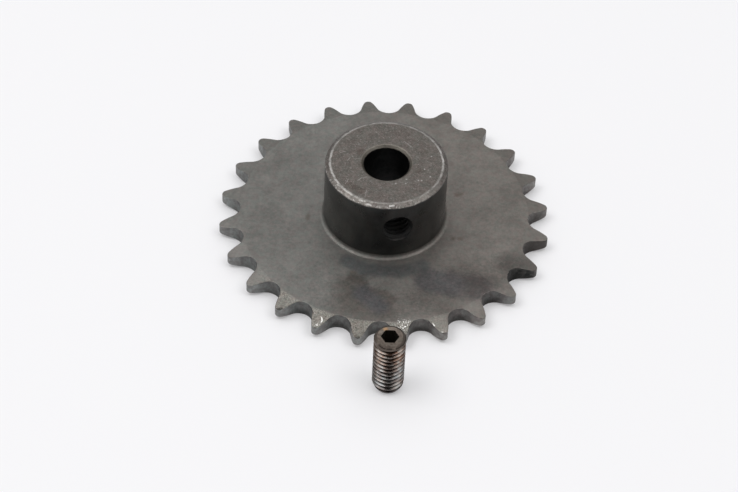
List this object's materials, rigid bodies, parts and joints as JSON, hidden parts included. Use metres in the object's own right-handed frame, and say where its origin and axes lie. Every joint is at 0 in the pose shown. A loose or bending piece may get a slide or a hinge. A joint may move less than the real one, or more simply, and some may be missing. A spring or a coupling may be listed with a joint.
{
  "type": "roller chain sprocket",
  "caption": "Plate sprocket for roller chain with a one-sided hub, plain bore, radial tapped hole and its loose cup-point set screw.",
  "frame": {"origin": "bore axis at the plate's back face", "axes": "+Z along the bore towards the hub's end; -Y through the middle of a tooth gap, towards the loose set screw"},
  "size_m": [0.0508, 0.0599, 0.014],
  "materials": {
    "blackened_steel": "black oxide on turned and milled steel, rubbed bright at the hub's rim",
    "screw_steel": "blackened alloy steel gone brown, with bright thread crests"
  },
  "bodies": {
    "root": {"sprocket": "blackened_steel", "set_screw": "screw_steel"}
  },
  "joints": []
}
